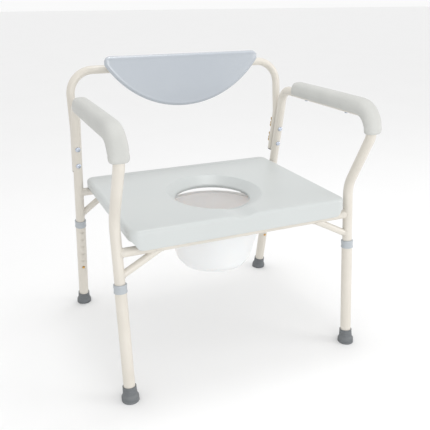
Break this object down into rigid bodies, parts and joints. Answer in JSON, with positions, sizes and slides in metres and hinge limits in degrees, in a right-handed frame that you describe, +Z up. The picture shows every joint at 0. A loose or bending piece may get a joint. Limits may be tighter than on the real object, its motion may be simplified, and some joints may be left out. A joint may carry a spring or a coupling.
{
  "type": "commode chair",
  "caption": "Extra-wide commode chair: bent tube frame with arm pads, telescopic legs, a lift-up seat with a dished opening, a slide-out pail and a curved back panel.",
  "frame": {"origin": "on the floor, in the middle of the chair's outline seen from above", "axes": "+Z up, -Y is the front, the way a sitter faces, +X is to the right for someone who faces the front of the chair"},
  "size_m": [0.678, 0.5952, 0.7681],
  "materials": {
    "frame_paint": "warm off-white powder coat, satin",
    "leg_paint": "warm off-white powder coat, satin",
    "collar_plastic": "pale blue-grey moulded plastic",
    "foot_rubber": "dark grey rubber",
    "button_brass": "yellow, polished by use",
    "zinc": "bright zinc plate",
    "yellow_zinc": "yellow passivated zinc",
    "panel_plastic": "pale blue-grey, glossy",
    "seat_plastic": "light grey, satin",
    "pail_plastic": "white, slightly translucent",
    "pad_foam": "light grey moulded foam with a grained skin",
    "plug_plastic": "dark grey moulded plastic"
  },
  "bodies": {
    "frame": {"side_frame_left": "frame_paint", "side_frame_right": "frame_paint", "crossbar_front": "frame_paint", "crossbar_rear": "frame_paint", "brace_front_left": "frame_paint", "brace_front_right": "frame_paint", "brace_rear_left": "frame_paint", "brace_rear_right": "frame_paint", "pail_rail_left": "frame_paint", "pail_rail_right": "frame_paint", "back_frame": "frame_paint", "tube_plug_left": "plug_plastic", "tube_plug_right": "plug_plastic", "back_panel": "panel_plastic", "panel_saddle_left": "panel_plastic", "panel_saddle_right": "panel_plastic", "panel_screw_left": "zinc", "panel_screw_right": "zinc", "back_bolt_lower_left": "zinc", "back_bolt_upper_left": "zinc", "back_bolt_lower_right": "zinc", "back_bolt_upper_right": "zinc", "wing_nut_lower_left": "yellow_zinc", "wing_nut_upper_left": "yellow_zinc", "wing_nut_lower_right": "yellow_zinc", "wing_nut_upper_right": "yellow_zinc", "arm_pad_left": "pad_foam", "arm_pad_right": "pad_foam", "pad_screw_rear_left": "zinc", "pad_screw_front_left": "zinc", "pad_screw_rear_right": "zinc", "pad_screw_front_right": "zinc"},
    "leg_front_left": {"leg_front_left": "leg_paint", "collar_front_left": "collar_plastic", "foot_front_left": "foot_rubber"},
    "button_front_left": {"snap_button_front_left": "button_brass"},
    "leg_front_right": {"leg_front_right": "leg_paint", "collar_front_right": "collar_plastic", "foot_front_right": "foot_rubber"},
    "button_front_right": {"snap_button_front_right": "button_brass"},
    "leg_rear_left": {"leg_rear_left": "leg_paint", "collar_rear_left": "collar_plastic", "foot_rear_left": "foot_rubber"},
    "button_rear_left": {"snap_button_rear_left": "button_brass"},
    "leg_rear_right": {"leg_rear_right": "leg_paint", "collar_rear_right": "collar_plastic", "foot_rear_right": "foot_rubber"},
    "button_rear_right": {"snap_button_rear_right": "button_brass"},
    "seat": {"seat": "seat_plastic", "seat_clip_rear_left": "collar_plastic", "seat_clip_rear_right": "collar_plastic", "seat_clip_front_left": "collar_plastic", "seat_clip_front_right": "collar_plastic"},
    "pail": {"pail": "pail_plastic"}
  },
  "joints": [
    {"name": "leg_slide_front_left", "type": "slide", "parent": "frame", "child": "leg_front_left", "axis": [0, -0.1069, -0.9943], "range_m": [0, 0.127]},
    {"name": "button_press_front_left", "type": "slide", "parent": "frame", "child": "button_front_left", "axis": [0, -0.9943, 0.1069], "range_m": [0, 0.0042], "stiffness_N_per_m": 1500, "springref_m": -0.004, "deforming": ["snap_button_front_left"]},
    {"name": "leg_slide_front_right", "type": "slide", "parent": "frame", "child": "leg_front_right", "axis": [0, -0.1069, -0.9943], "range_m": [0, 0.127]},
    {"name": "button_press_front_right", "type": "slide", "parent": "frame", "child": "button_front_right", "axis": [0, -0.9943, 0.1069], "range_m": [0, 0.0042], "stiffness_N_per_m": 1500, "springref_m": -0.004, "deforming": ["snap_button_front_right"]},
    {"name": "leg_slide_rear_left", "type": "slide", "parent": "frame", "child": "leg_rear_left", "axis": [0, 0.1935, -0.9811], "range_m": [0, 0.127]},
    {"name": "button_press_rear_left", "type": "slide", "parent": "frame", "child": "button_rear_left", "axis": [0, 0.9811, 0.1935], "range_m": [0, 0.0042], "stiffness_N_per_m": 1500, "springref_m": -0.004, "deforming": ["snap_button_rear_left"]},
    {"name": "leg_slide_rear_right", "type": "slide", "parent": "frame", "child": "leg_rear_right", "axis": [0, 0.1935, -0.9811], "range_m": [0, 0.127]},
    {"name": "button_press_rear_right", "type": "slide", "parent": "frame", "child": "button_rear_right", "axis": [0, 0.9811, 0.1935], "range_m": [0, 0.0042], "stiffness_N_per_m": 1500, "springref_m": -0.004, "deforming": ["snap_button_rear_right"]},
    {"name": "seat_hinge", "type": "hinge", "parent": "frame", "child": "seat", "pos_m": [0, 0.19858, 0.391], "axis": [-1, 0, 0], "range_deg": [0, 66]},
    {"name": "pail_slide", "type": "slide", "parent": "frame", "child": "pail", "axis": [0, 1, 0], "range_m": [0, 0.43]}
  ]
}
